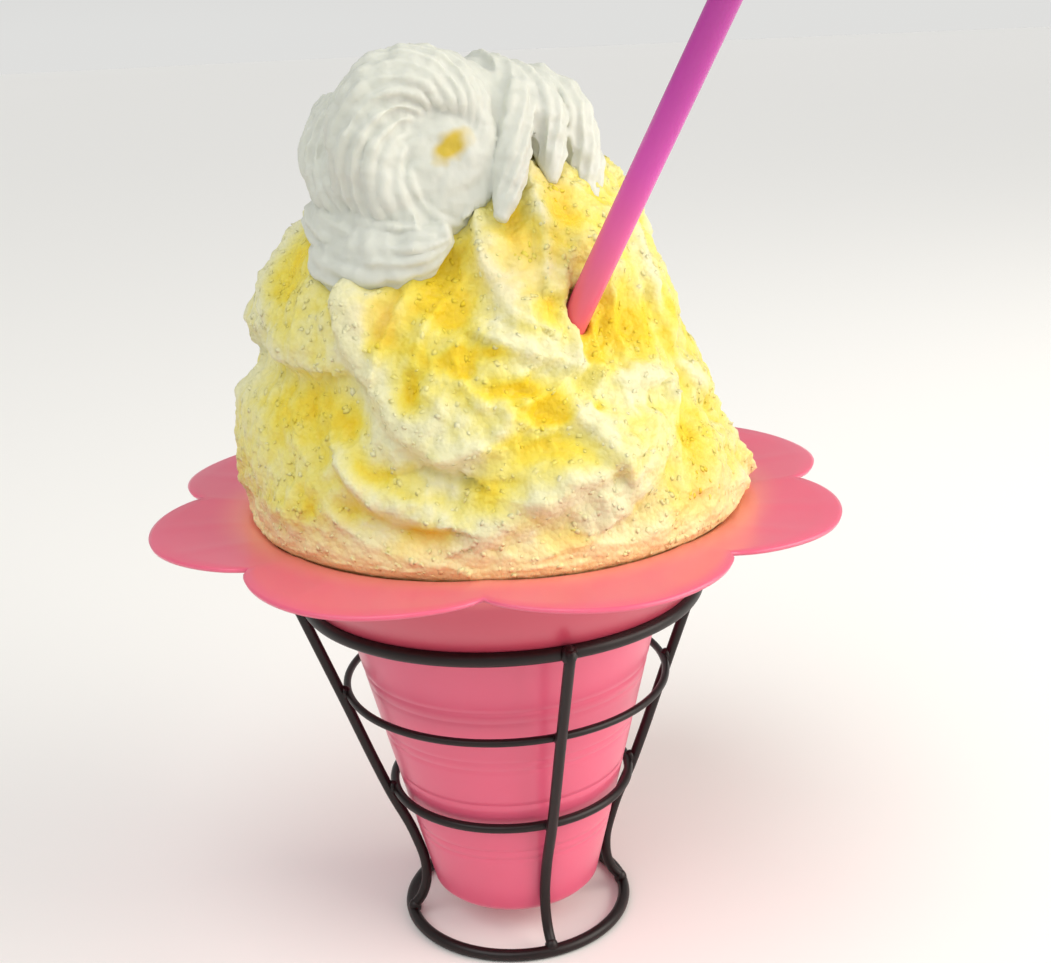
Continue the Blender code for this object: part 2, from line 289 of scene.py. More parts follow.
def petal_edge(bearing):
    """Radius of the brim's edge: round petals that meet in narrow valleys."""
    swing = math.radians(bearing - PETAL_TURN) * PETALS / 2
    return PETAL_VALLEY + (PETAL_TIP - PETAL_VALLEY) * abs(math.cos(swing)) ** PETAL_ROUNDNESS


wall_line = []
(low_radius, low_height), (high_radius, high_height) = CUP_TAPER
for step in range(1, 150):
    share = step / 150
    height = low_height + (high_height - low_height) * share
    rib = sum(bell(height - rib_height, width / 2) for rib_height, width in CUP_RIBS)
    wall_line.append((low_radius + (high_radius - low_radius) * share - RIB_DEPTH * rib, height))
cup = bmesh.new()
outline = [*CUP_BASE, *wall_line, CUP_TAPER[1], *CUP_SHOULDER, *CUP_BOWL, *CUP_BRIM]
points = [cup.verts.new((around(radius, PETAL_TURN, height) + SEAT) * MM) for radius, height in outline]
edges = [cup.edges.new(pair) for pair in zip(points, points[1:])]
bmesh.ops.spin(
    cup, geom=points + edges, cent=(0, 0, 0), axis=(0, 0, 1),
    angle=2 * math.pi, steps=CUP_STEPS, use_merge=True,
)
bmesh.ops.remove_doubles(cup, verts=cup.verts, dist=0.00001)
bmesh.ops.recalc_face_normals(cup, faces=cup.faces)
brim_start = CUP_BOWL[-1][0]
brim_reach = CUP_BRIM[-1][0] - brim_start
for vert in cup.verts:
    radius = vert.co.xy.length / MM
    if radius > brim_start + 0.01:
        bearing = math.degrees(math.atan2(vert.co.x, -vert.co.y))
        out = (radius - brim_start) / brim_reach
        vert.co.xy *= (brim_start + out * (petal_edge(bearing) - brim_start)) / radius
        swing = math.radians(bearing - PETAL_TURN) * PETALS / 2
        dish = 0.5 * out * (1.0 - abs(math.cos(swing)) ** 3)  # each petal sags a little at its middle
        veins = sum(bell(math.degrees(swing) % 180.0 - side, 7.0) for side in (28.0, 152.0))
        vert.co.z += (dish - 0.5 * out + 0.16 * veins * math.sin(math.pi * min(1.0, out))) * MM

# Thin polypropylene: light sinks in, so it glows; satin outside, with a faint mould grain of 1.5 mm.
# It is painted darker at the shoulder, as shade under the brim, and painted coral round the ice, as light
# thrown onto the brim by the yellow ice.
plastic, tree, shader = new_material("moulded_pink_polypropylene")
place = add_node(tree, "ShaderNodeTexCoord")
flat = add_node(
    tree, "ShaderNodeVectorMath", {1: (1.0, 1.0, 0.0)}, {0: place.outputs["Object"]}, operation="MULTIPLY",
)
radius = add_node(tree, "ShaderNodeVectorMath", links={0: flat.outputs["Vector"]}, operation="LENGTH")
height = add_node(tree, "ShaderNodeSeparateXYZ", links={"Vector": place.outputs["Object"]})
# Painted light: a coral tint on the brim near the ice stands in for light reflected from the yellow ice.
ice_glow_falloff = add_node(
    tree, "ShaderNodeMapRange", {"From Min": 0.057, "From Max": 0.069, "To Min": 1.0, "To Max": 0.0},
    {"Value": radius.outputs["Value"]}, interpolation_type="SMOOTHSTEP",
)
above = add_node(
    tree, "ShaderNodeMapRange", {"From Min": 0.104, "From Max": 0.1105}, {"Value": height.outputs["Z"]},
)
painted_ice_glow = add_node(
    tree, "ShaderNodeMath", links={0: ice_glow_falloff.outputs["Result"], 1: above.outputs["Result"]},
    operation="MULTIPLY",
)
cloud = add_node(
    tree, "ShaderNodeTexNoise", {"Scale": 26.0, "Detail": 3.0}, {"Vector": place.outputs["Object"]},
)
pink = add_node(
    tree, "ShaderNodeMix", {"A": linear("#e05677"), "B": linear("#e96585")},
    {"Factor": cloud.outputs["Fac"]}, data_type="RGBA",
)
# Painted shade: a dark band round the shoulder, where the brim shades the cup.
off_shoulder = add_node(
    tree, "ShaderNodeMath", {1: 0.098}, {0: height.outputs["Z"]}, operation="SUBTRACT",
)
distance = add_node(tree, "ShaderNodeMath", links={0: off_shoulder.outputs["Value"]}, operation="ABSOLUTE")
shoulder = add_node(
    tree, "ShaderNodeMapRange", {"From Min": 0.005, "From Max": 0.013, "To Min": 0.65, "To Max": 0.0},
    {"Value": distance.outputs["Value"]}, interpolation_type="SMOOTHSTEP",
)
painted_brim_shade = add_node(
    tree, "ShaderNodeMix", {"B": linear("#b43544")},
    {"Factor": shoulder.outputs["Result"], "A": pink.outputs["Result"]}, data_type="RGBA",
)
coral = add_node(
    tree, "ShaderNodeMix", {"B": linear("#ef8f82")},
    {"Factor": painted_ice_glow.outputs["Value"], "A": painted_brim_shade.outputs["Result"]}, data_type="RGBA",
)
grain = add_node(
    tree, "ShaderNodeTexNoise", {"Scale": 650.0, "Detail": 2.0}, {"Vector": place.outputs["Object"]},
)
relief = add_node(
    tree, "ShaderNodeBump", {"Strength": 0.12, "Distance": 0.0002}, {"Height": grain.outputs["Fac"]},
)
shine = add_node(
    tree, "ShaderNodeMapRange", {"To Min": 0.30, "To Max": 0.44}, {"Value": cloud.outputs["Fac"]},
)
tree.links.new(coral.outputs["Result"], shader.inputs["Base Color"])
tree.links.new(shine.outputs["Result"], shader.inputs["Roughness"])
tree.links.new(relief.outputs["Normal"], shader.inputs["Normal"])
shader.inputs["IOR"].default_value = 1.49
shader.inputs["Coat Weight"].default_value = 0.55
shader.inputs["Coat Roughness"].default_value = 0.3
shader.inputs["Subsurface Weight"].default_value = 0.2
shader.inputs["Subsurface Radius"].default_value = (1.0, 0.5, 0.5)
shader.inputs["Subsurface Scale"].default_value = 0.002
cup_piece = add_piece("petal_brim_cup", cup, plastic, "flower_cup", "flower_cup")
wall = cup_piece.modifiers.new("Wall", "SOLIDIFY")
wall.thickness = CUP_WALL * MM
wall.offset = -1.0
wall.use_even_offset = True


# ---- Shaved ice ----
# A tall heap of finely shaved ice, scooped and pressed by hand so that it folds over itself, with
# yellow syrup poured over. The syrup stands in the hollows and leaves the ridges nearly white.

# Folds pressed into the heap: how far they stand out, how wide, and their line by bearing and height.
FOLDS = (
    (2.4, 4.5, ((-40.0, 84.0), (-35.0, 72.0), (-29.5, 62.5), (-20.0, 53.0), (-9.0, 46.0))),
    (2.2, 4.0, ((2.0, 70.0), (12.0, 66.5), (24.0, 62.5), (34.0, 58.5), (46.0, 56.5))),
    (1.8, 3.6, ((-12.0, 47.0), (0.0, 51.0), (9.0, 55.5), (16.0, 55.5), (22.0, 51.5), (25.0, 45.0))),
    (1.6, 4.2, ((-4.0, 31.0), (8.0, 37.0), (17.0, 42.0), (27.0, 44.0))),
    (1.8, 5.0, ((26.0, 34.0), (38.0, 42.0), (48.0, 49.0), (58.0, 56.0))),
    (1.8, 5.0, ((-78.0, 88.0), (-70.0, 74.0), (-60.0, 66.0), (-46.0, 64.0))),
    (1.5, 4.0, ((-34.0, 46.0), (-26.0, 38.0), (-12.0, 34.5))),
    (1.8, 3.6, ((-3.0, 92.0), (-1.0, 84.0), (3.0, 77.0), (12.0, 72.0))),
    (1.5, 3.2, ((18.0, 97.0), (19.0, 89.0), (17.0, 82.0))),
    (1.6, 4.5, ((60.0, 86.0), (57.0, 74.0), (60.0, 62.0), (70.0, 50.0))),
    (2.2, 5.0, ((92.0, 92.0), (104.0, 78.0), (120.0, 68.0), (140.0, 62.0))),
    (2.0, 5.0, ((150.0, 94.0), (158.0, 80.0), (172.0, 70.0), (192.0, 66.0))),
    (2.0, 5.0, ((110.0, 52.0), (132.0, 46.0), (156.0, 50.0), (176.0, 44.0))),
    (2.0, 5.0, ((-158.0, 92.0), (-146.0, 78.0), (-128.0, 70.0), (-110.0, 72.0))),
    (2.0, 5.0, ((-170.0, 54.0), (-150.0, 46.0), (-128.0, 50.0), (-104.0, 44.0))),
)
# Pools of syrup: bearing, height, spread round (degrees), spread up, strength, how far it sinks.
POOLS = (
    (-12.0, 77.5, 8.0, 8.5, 1.05, 2.2),
    # Under the cream's low lobe this pool is kept weak, painted paler against the lobe's shade.
    (-8.0, 87.5, 8.0, 5.5, 0.3, 0.3),
    (10.0, 93.5, 4.5, 6.0, 0.9, 0.4),
    (29.0, 94.5, 6.5, 5.5, 0.95, 1.2),
    (20.0, 86.0, 7.0, 3.5, 0.5, 0.6),
    (-47.0, 55.2, 15.0, 8.5, 0.55, 1.2),
    (-36.0, 52.0, 5.0, 3.5, 0.4, 0.8),
    (-24.0, 43.4, 8.0, 3.2, 0.6, 1.0),
    (11.0, 57.6, 5.5, 3.2, 1.8, 2.8),
    (5.0, 62.8, 5.0, 2.0, 0.8, 1.6),
    (-6.0, 65.7, 2.8, 2.0, 1.1, 2.4),
    (1.0, 69.5, 4.0, 1.3, 0.8, 1.2),
    (14.0, 74.0, 6.0, 2.0, 0.7, 1.2),
    (43.0, 70.0, 10.5, 6.0, 1.15, 0.6),
    (30.0, 66.0, 4.0, 3.0, 0.9, 0.8),
    (27.0, 57.5, 4.0, 2.6, 0.7, 1.0),
    (-17.0, 60.0, 3.4, 6.0, 0.7, 1.6),
    (-25.0, 73.0, 3.2, 6.0, 0.7, 1.4),
    (-64.0, 80.0, 12.0, 9.0, 0.45, 0.6),
    (-58.0, 88.0, 9.0, 5.0, 0.5, 0.4),
    (8.0, 49.5, 8.0, 3.0, 0.6, 0.8),
    (18.0, 45.5, 6.0, 3.0, 0.5, 0.6),
    (-2.0, 39.6, 6.0, 4.0, 0.6, 0.8),
    (50.0, 43.6, 7.0, 9.0, 0.65, 0.2),
    (60.0, 66.0, 6.0, 14.0, 0.35, 0.2),
    (48.0, 32.0, 8.0, 4.0, 0.6, 0.6),
    (84.0, 31.0, 9.0, 3.2, 0.0, -2.4),
    (-88.0, 61.0, 26.0, 4.5, 0.0, 1.6),
    (12.0, 28.3, 4.0, 2.4, 1.1, 1.0),
    (-16.0, 30.4, 4.0, 2.4, 1.0, 1.0),
    (-38.0, 34.0, 18.0, 6.0, 0.25, 0.0),
    (100.0, 66.0, 14.0, 9.0, 0.8, 1.0),
    (124.0, 84.0, 12.0, 8.0, 0.9, 1.4),
    (134.0, 38.0, 16.0, 6.0, 0.6, 0.8),
    (165.0, 58.0, 14.0, 7.0, 0.85, 1.2),
    (178.0, 88.0, 14.0, 8.0, 0.9, 1.4),
    (-166.0, 36.0, 14.0, 5.0, 0.6, 0.8),
    (-140.0, 60.0, 14.0, 8.0, 0.85, 1.2),
    (-122.0, 86.0, 12.0, 8.0, 0.9, 1.2),
    (-104.0, 54.0, 12.0, 6.0, 0.6, 0.8),
    (-84.0, 36.0, 12.0, 6.0, 0.45, 0.4),
)
# Patches the syrup has run off: bearing, height, spread round, spread up, strength.
DRY_PATCHES = (
    (-33.0, 70.0, 4.5, 7.0, 0.6),
    (-28.0, 61.0, 4.5, 5.5, 0.7),
    (-20.0, 51.5, 9.0, 5.0, 0.55),
    (-8.0, 44.5, 6.0, 7.0, 0.35),
    (17.0, 66.0, 7.0, 2.6, 0.55),
    (24.0, 52.0, 6.0, 4.5, 0.45),
    (43.0, 57.0, 13.0, 4.0, 0.5),
    (21.0, 35.5, 9.0, 5.5, 0.5),
    (-28.0, 32.0, 5.0, 4.0, 0.35),
    (-85.0, 62.0, 20.0, 14.0, 0.35),
    (-90.0, 86.0, 18.0, 10.0, 0.35),
    (60.0, 78.0, 10.0, 8.0, 0.35),
    (2.0, 75.0, 4.0, 6.0, 0.3),
)
# Places where the ice turns peach: as the dry patches. Low down by the brim the tint is partly painted light,
# the pink of the cup reflected onto the ice.
PEACH_PATCHES = (
    (54.0, 32.0, 14.0, 7.0, 0.5),
    (12.0, 28.0, 6.0, 2.6, 0.4),
    (-16.0, 29.0, 6.0, 2.6, 0.4),
    (30.0, 100.0, 10.0, 5.0, 0.3),
    (10.0, 84.0, 12.0, 7.0, 0.25),
    (-26.0, 76.0, 5.0, 5.0, 0.25),
    (-140.0, 32.0, 20.0, 6.0, 0.4),
    (150.0, 34.0, 18.0, 6.0, 0.4),
)
FOOT_SPREAD = 3.2  # how far the ice's foot spreads over the brim
FOOT_GAP = 0.5  # between the ice's foot and the plastic
NECK_TOP = 21.5  # below this the ice fills the cup; above it the foot lies on the brim
FOOT_TOP = 25.5
FOOT_REACH = 50.0  # only ice further out than this is foot
HEAP_CUT = 14.0  # the heap and the ice packed in the cup meet at this height
NOISE_SEED = 3
GRID = 1.5  # spacing of the heap's mesh before it is halved
ARC = 0.92  # length round the heap of one degree of bearing
# Strokes of the scoop curve round these places: bearing, height.
SCOOPS = ((9.0, 67.0), (118.0, 66.0), (-128.0, 62.0))
STROKE_SPACING = 11.0
STROKE_DEPTH = 1.5


def degrees_apart(first, second):
    return (first - second + 180.0) % 360.0 - 180.0


def read_off(line, value):
    """The second number of a line of pairs where the first is value, straight between pairs."""
    for (first, low), (second, high) in zip(line, line[1:]):
        if value <= second:
            return low + (high - low) * (value - first) / (second - first)
    return line[-1][1]


def remeshed(bm, spacing):
    """A bmesh made again as one closed skin of even squares."""
    mesh = bpy.data.meshes.new("rough")
    bm.to_mesh(mesh)
    bm.free()
    rough = new_object("rough", mesh)
    skin = rough.modifiers.new("Skin", "REMESH")
    skin.mode = "VOXEL"
    skin.voxel_size = spacing * MM
    bpy.context.view_layer.update()
    even = bpy.data.meshes.new_from_object(rough.evaluated_get(bpy.context.evaluated_depsgraph_get()))
    bpy.data.objects.remove(rough)
    bm = bmesh.new()
    bm.from_mesh(even)
    return bm


def fold_push(bearing, height):
    """How far the folds push a place out (mm), and how much of a ridge's crest it is."""
    push = crest = 0.0
    for size, width, line in FOLDS:
        if not min(point[1] for point in line) - 14 < height < max(point[1] for point in line) + 14:
            continue
        here = Vector((degrees_apart(bearing, line[0][0]) * ARC, height))
        nearest, side = 99.0, 1.0
        for first, second in zip(line, line[1:]):
            start = Vector((degrees_apart(first[0], line[0][0]) * ARC, first[1]))
            along = Vector((degrees_apart(second[0], line[0][0]) * ARC, second[1])) - start
            share = min(1.0, max(0.0, (here - start).dot(along) / along.length_squared))
            away = here - start - along * share
            if away.length < nearest:
                nearest = away.length
                side = 1.0 if away.x * along.y - away.y * along.x > 0 else -1.0
        steep = width * (0.45 if side > 0 else 1.35)
        push += size * bell(nearest, steep) - 0.5 * size * bell(nearest - width, width * 0.8) * (side > 0)
        crest = max(crest, bell(nearest, steep * 0.6))
    return push, crest


def stroke_push(bearing, height, wander):
    """How far the scoop's strokes push a place out, and its distance from the scoop's turn."""
    away = sorted(
        math.hypot(degrees_apart(bearing, scoop_bearing) * ARC, (height - scoop_height) * 1.15)
        for scoop_bearing, scoop_height in SCOOPS
    )
    phase = (away[0] + wander) / STROKE_SPACING * math.pi
    ridge = 1.0 - abs(math.sin(phase)) ** 0.7
    return (ridge * 1.5 - 0.5) * min(1.0, (away[1] - away[0]) / 20.0) * min(1.0, away[0] / 14.0), away[0]


heap = bmesh.new()
heap.from_mesh(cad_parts["shaved_ice"].data)
bmesh.ops.remove_doubles(heap, verts=heap.verts, dist=0.00001)
# The clear hole round the straw is plugged, so that the ice closes in on it.
STRAW_ENTRY = Vector((17.8, -36.0, 70.5))
STRAW_DIRECTION = Vector((28.4, -22.0, 62.5)).normalized()
straw_turn = STRAW_DIRECTION.to_track_quat("Z", "Y").to_matrix().to_4x4()
PLUG_RADIUS, PLUG_LENGTH, PLUG_BELOW = 3.9, 107.0, 57.0
plug = Matrix.Translation((STRAW_ENTRY - STRAW_DIRECTION * PLUG_BELOW + SEAT) * MM) @ straw_turn
bmesh.ops.create_cone(
    heap, cap_ends=True, segments=24, radius1=PLUG_RADIUS * MM, radius2=PLUG_RADIUS * MM,
    depth=PLUG_LENGTH * MM, matrix=plug,
)
heap = remeshed(heap, GRID)
packed = heap.copy()
cut = (SEAT + Vector((0.0, 0.0, HEAP_CUT))) * MM
bmesh.ops.bisect_plane(
    heap, geom=heap.verts[:] + heap.edges[:] + heap.faces[:], plane_co=cut, plane_no=(0, 0, 1),
    clear_inner=True,
)
bmesh.ops.subdivide_edges(heap, edges=heap.edges[:], cuts=1, use_grid_fill=True)
bmesh.ops.smooth_vert(heap, verts=heap.verts, factor=0.5, use_axis_x=True, use_axis_y=True, use_axis_z=True)
heap.normal_update()
syrup_layer = heap.verts.layers.float.new("syrup")
peach_layer = heap.verts.layers.float.new("peach")
noise.seed_set(NOISE_SEED)
# Each noise is read at a place divided by the size of what it draws.
moves = []
for vert in heap.verts:
    here = vert.co / MM - SEAT
    bearing = math.degrees(math.atan2(here.x, -here.y))
    push, crest = fold_push(bearing, here.z)
    bend = noise.noise_vector(here / 19.0) * 9.0
    swirl = 1.0 - abs(noise.noise((here + bend) / 13.0)) * 2.2
    lumps = noise.fractal(here / 6.5, 1.0, 2.1, 2)
    crumbs = noise.noise(here / 2.6 + Vector((7.0, 3.0, 1.0)))
    grains = noise.noise(here / 1.25)
    crystals = 0.42 - noise.voronoi(here / 3.6 + bend * 0.05)[0][0]
    rough = 0.45 + 0.55 * bell(degrees_apart(bearing, 8.0), 30.0) * bell(here.z - 66.0, 18.0)
    rough = max(rough, 0.8 * bell(degrees_apart(bearing, 180.0), 80.0))
    patchy = 0.55 + 0.9 * noise.noise(here / 17.0 + Vector((3.0, 9.0, 4.0)))
    stroke, from_centre = stroke_push(bearing, here.z, bend.x * 0.9)
    stroke *= max(0.15, patchy)
    streaks = noise.noise(Vector(((from_centre + bend.x * 0.9) / 1.5, bearing / 30.0, here.z / 30.0)))
    push += STROKE_DEPTH * stroke + 0.7 * (swirl - 0.5) + 1.6 * rough * lumps + 0.7 * rough * crumbs
    push += (0.25 + 1.6 * rough) * crystals + 0.2 * grains + 0.4 * (1.0 - rough) * streaks
    right_side = 0.14 * bell(degrees_apart(bearing, 62.0), 42.0)
    syrup = 0.28 + right_side - 0.16 * stroke - 0.12 * (swirl - 0.5) - 0.22 * lumps
    syrup = syrup - 0.10 * crumbs - 0.25 * crystals - 0.12 * streaks
    drift = 0.4 + 1.2 * bell(degrees_apart(bearing, 180.0), 75.0)
    for pool_bearing, pool_height, round_spread, up_spread, strength, sink in POOLS:
        away = degrees_apart(bearing, pool_bearing) + drift * bend.y
        over = here.z - pool_height + drift * bend.z
        if abs(away) < 2.5 * round_spread and abs(over) < 2.5 * up_spread:
            ragged = 1.0 + 0.6 * lumps
            pool = bell(away, round_spread * ragged) * bell(over, up_spread * ragged)
            push -= sink * pool
            syrup += strength * pool
    for patch_bearing, patch_height, round_spread, up_spread, strength in DRY_PATCHES:
        away = degrees_apart(bearing, patch_bearing)
        if abs(away) < 2.5 * round_spread and abs(here.z - patch_height) < 2.5 * up_spread:
            syrup -= strength * bell(away, round_spread) * bell(here.z - patch_height, up_spread)
    foot = min(1.0, max(0.0, (here.z - 20.0) / 10.0))
    if NECK_TOP < here.z < 36.0 and here.xy.length > FOOT_REACH:
        spread = min(1.0, (36.0 - here.z) / 12.0)
        vert.co.xy *= 1.0 + FOOT_SPREAD * spread * spread / here.xy.length
    # Ridge crests hold less syrup. The foot gets less as well, painted paler to lift its shade.
    syrup -= 0.35 * crest + 0.35 * bell(here.z - 23.0, 8.0)
    vert[syrup_layer] = min(1.0, max(0.0, syrup))
    # A peach band at the foot: painted light reflected from the pink brim.
    peach = 0.12 * bell(here.z - 24.0, 3.5)
    for patch_bearing, patch_height, round_spread, up_spread, strength in PEACH_PATCHES:
        away = degrees_apart(bearing, patch_bearing) + drift * bend.y
        peach += strength * bell(away, round_spread) * bell(here.z - patch_height, up_spread)
    vert[peach_layer] = min(1.0, peach)
    out = Vector((vert.normal.x, vert.normal.y, vert.normal.z * foot))
    moves.append((vert, out * push * (0.3 + 0.7 * foot) * MM))
cup_line = [*CUP_BOWL, *CUP_BRIM[:-1]]
wall_by_height = [(height, radius) for radius, height in cup_line]
for vert, move in moves:
    vert.co += move
    reach, height = vert.co.xy.length / MM, vert.co.z / MM - SEAT.z
    if reach > FOOT_REACH and height < NECK_TOP:
        fill = min(1.0, max(0.0, (height - HEAP_CUT) / 4.0))
        vert.co.xy *= 1.0 + fill * (read_off(wall_by_height, height) - FOOT_GAP - reach) / reach
    elif reach > FOOT_REACH and height < FOOT_TOP:
        seat = read_off(cup_line, reach) + FOOT_GAP
        rise = (height - NECK_TOP) / (FOOT_TOP - NECK_TOP)
        vert.co.z = (SEAT.z + seat + (FOOT_TOP - seat) * rise) * MM
bmesh.ops.holes_fill(heap, edges=[edge for edge in heap.edges if edge.is_boundary], sides=0)
bmesh.ops.recalc_face_normals(heap, faces=heap.faces)


def blend_tints(ramp, tints):
    """Set a colour ramp to (position, colour) pairs that start at 0 and end at 1."""
    for position, colour in tints[1:-1]:
        ramp.elements.new(position).color = linear(colour)
    ramp.elements[0].color = linear(tints[0][1])
    ramp.elements[-1].color = linear(tints[-1][1])


# Packed snow-like ice: light scatters inside it, so shadows stay soft and yellow. Its relief has
# grains of about 1 mm. Real grains are finer, and are drawn this coarse so that they show.
ice, tree, shader = new_material("shaved_ice_with_yellow_syrup")
place = add_node(tree, "ShaderNodeTexCoord")
syrup = add_node(tree, "ShaderNodeAttribute", attribute_name="syrup")
peach = add_node(tree, "ShaderNodeAttribute", attribute_name="peach")
seep = add_node(
    tree, "ShaderNodeTexNoise", {"Scale": 170.0, "Detail": 4.0, "Roughness": 0.6},
    {"Vector": place.outputs["Object"]},
)
spread = add_node(
    tree, "ShaderNodeMapRange", {"From Min": 0.3, "From Max": 0.7, "To Min": -0.14, "To Max": 0.14},
    {"Value": seep.outputs["Fac"]},
)
depth = add_node(
    tree, "ShaderNodeMath", links={0: syrup.outputs["Fac"], 1: spread.outputs["Result"]},
    operation="ADD", use_clamp=True,
)
SYRUP_TINTS = (
    (0.0, "#dedbb2"), (0.2, "#dfd99a"), (0.42, "#e0d67c"), (0.7, "#e1d052"), (1.0, "#e3c52c"),
)
tint = add_node(tree, "ShaderNodeValToRGB", links={"Fac": depth.outputs["Value"]})
blend_tints(tint.color_ramp, SYRUP_TINTS)
# Peach tint; by the brim it is painted light reflected from the cup.
blush = add_node(
    tree, "ShaderNodeMix", {"B": linear("#f7d2a4")},
    {"Factor": peach.outputs["Fac"], "A": tint.outputs["Color"]}, data_type="RGBA",
)
# Painted light: the foot, shaded where it turns towards the brim, is painted paler and brighter.
height = add_node(tree, "ShaderNodeSeparateXYZ", links={"Vector": place.outputs["Object"]})
low = add_node(
    tree, "ShaderNodeMapRange", {"From Min": 0.113, "From Max": 0.125, "To Min": 0.8, "To Max": 0.0},
    {"Value": height.outputs["Z"]}, interpolation_type="SMOOTHSTEP",
)
painted_foot_light = add_node(
    tree, "ShaderNodeMix", {"B": linear("#faf0ac")},
    {"Factor": low.outputs["Result"], "A": blush.outputs["Result"]}, data_type="RGBA",
)
grain = add_node(
    tree, "ShaderNodeTexVoronoi", {"Scale": 900.0, "Randomness": 1.0}, {"Vector": place.outputs["Object"]},
)
crumb = add_node(
    tree, "ShaderNodeTexNoise", {"Scale": 420.0, "Detail": 4.0, "Roughness": 0.65},
    {"Vector": place.outputs["Object"]},
)
mixed = add_node(
    tree, "ShaderNodeMath", links={0: crumb.outputs["Fac"], 1: grain.outputs["Distance"]},
    operation="SUBTRACT",
)
relief = add_node(
    tree, "ShaderNodeBump", {"Strength": 0.45, "Distance": 0.0006}, {"Height": mixed.outputs["Value"]},
)
shine = add_node(
    tree, "ShaderNodeMapRange", {"From Min": 0.3, "From Max": 0.7, "To Min": 0.22, "To Max": 0.6},
    {"Value": seep.outputs["Fac"]},
)
tree.links.new(painted_foot_light.outputs["Result"], shader.inputs["Base Color"])
tree.links.new(shine.outputs["Result"], shader.inputs["Roughness"])
tree.links.new(relief.outputs["Normal"], shader.inputs["Normal"])
shader.inputs["IOR"].default_value = 1.31
shader.inputs["Subsurface Weight"].default_value = 0.4
shader.inputs["Subsurface Radius"].default_value = (1.0, 0.95, 0.75)
shader.inputs["Subsurface Scale"].default_value = 0.0022

# Loose shavings: thin bent chips, 1 to 2 mm long, that lie half sunk all over the heap.
CHIPS = 3200
CHIP_SHAPES = 6
CHIP_STRETCH = (1.9, 1.2, 0.16)
CHIP_JITTER = (0.12, 0.12, 0.02)
CHIP_BEND = 0.15  # how far a chip droops 1 mm from its middle
CHIP_TILT = 0.1  # radians
CHIP_SCALE = (0.5, 1.2)
CHIP_LOWEST = 0.113  # metres above the floor, clear of the brim
CHIP_SEED = 41
chance = random.Random(CHIP_SEED)
chip_shapes = []
for _ in range(CHIP_SHAPES):
    chip = bmesh.new()
    bmesh.ops.create_icosphere(chip, subdivisions=1, radius=0.5 * MM)
    for vert in chip.verts:
        vert.co = Vector([length * stretch for length, stretch in zip(vert.co, CHIP_STRETCH)])
        vert.co += Vector([chance.uniform(-jitter, jitter) * MM for jitter in CHIP_JITTER])
        vert.co.z -= CHIP_BEND * vert.co.x ** 2 / MM
    mesh = bpy.data.meshes.new("chip")
    chip.to_mesh(mesh)
    chip.free()
    chip_shapes.append(mesh)
chips = bmesh.new()
chip_syrup = []
spots = [face for face in heap.faces if face.calc_center_median().z > CHIP_LOWEST and len(face.verts) < 6]
for face in chance.choices(spots, k=CHIPS):
    lie = face.normal.to_track_quat("Z", "Y").to_matrix().to_4x4()
    turns = (chance.gauss(0.0, CHIP_TILT), chance.gauss(0.0, CHIP_TILT), chance.uniform(0.0, 6.3))
    tilt = Euler(turns).to_matrix().to_4x4()
    size = Matrix.Scale(chance.uniform(*CHIP_SCALE), 4)
    place = Matrix.Translation(face.calc_center_median() + face.normal * 0.01 * MM) @ lie @ tilt @ size
    shape = chance.choice(chip_shapes)
    shape.transform(place)
    chips.from_mesh(shape)
    shape.transform(place.inverted())
    # Chips take a little less syrup than the ice under them, so they are painted paler: painted light that
    # lifts their shaded edges.
    chip_syrup.append(max(0.0, face.verts[0][syrup_layer] - chance.uniform(0.0, 0.2)))
syrup_on_chips = chips.verts.layers.float.new("syrup")
verts_a_chip = len(chip_shapes[0].vertices)
for index, vert in enumerate(chips.verts):
    vert[syrup_on_chips] = chip_syrup[index // verts_a_chip]

# A chip is thinner than the grains, so it takes the ice's finish without their relief and scatter.
chip_ice = ice.copy()
chip_ice.name = "thin_ice_chips_with_yellow_syrup"
chip_shader = chip_ice.node_tree.nodes["Principled BSDF"]
chip_shader.inputs["Subsurface Weight"].default_value = 0.0
chip_shader.inputs["Specular IOR Level"].default_value = 0.15
chip_ice.node_tree.links.remove(chip_shader.inputs["Normal"].links[0])
add_piece("loose_ice_shavings", chips, chip_ice, "shaved_ice")

# The ice packed in the cup: the same ice, pressed to the cup's shape and hidden by it.
bmesh.ops.bisect_plane(
    packed, geom=packed.verts[:] + packed.edges[:] + packed.faces[:], plane_co=cut, plane_no=(0, 0, 1),
    clear_outer=True,
)
bmesh.ops.holes_fill(packed, edges=[edge for edge in packed.edges if edge.is_boundary], sides=0)
add_piece("ice_packed_in_cup", packed, ice, "shaved_ice")
add_piece("shaved_ice_heap", heap, ice, "shaved_ice", "shaved_ice")


# ---- Cream ----
# Soft whipped cream piped through a star nozzle, so every rope of it is fluted. The rope curls
# round a drop of syrup, lies in a low loop under the curl and falls over the top to the right.
CREAM_GRID = 0.5  # spacing of the cream's mesh
FLUTES = 4.0  # distance from flute to flute
FLUTE_DEPTH = 1.0
EYE = Vector((-5.6, -37.0, 108.5))
EYE_FACING = Vector((0.33, -0.93, 0.12)).normalized()
# The curl, seen along its axis: angle from the right, distance, depth behind the eye, rope radius.
CURL = (
    (-70.0, 4.6, 4.0, 1.6), (-20.0, 6.6, 4.0, 3.2), (30.0, 8.0, 6.0, 4.6), (75.0, 11.0, 8.0, 7.6),
    (115.0, 13.5, 10.0, 9.2), (155.0, 14.0, 11.0, 9.6), (195.0, 13.5, 11.0, 9.6),
    (235.0, 13.2, 10.0, 8.6), (275.0, 13.2, 9.0, 6.8), (312.0, 13.6, 8.0, 5.0), (340.0, 14.0, 9.0, 2.0),
)
BACK_CURL = (
    (140.0, 14.5, 25.0, 9.0), (185.0, 17.0, 23.0, 9.2), (225.0, 17.0, 20.0, 8.5), (205.0, 12.0, 32.0, 9.0),
    (100.0, 10.0, 36.0, 12.0), (30.0, 9.0, 34.0, 11.0), (-40.0, 9.0, 34.0, 9.0),
)
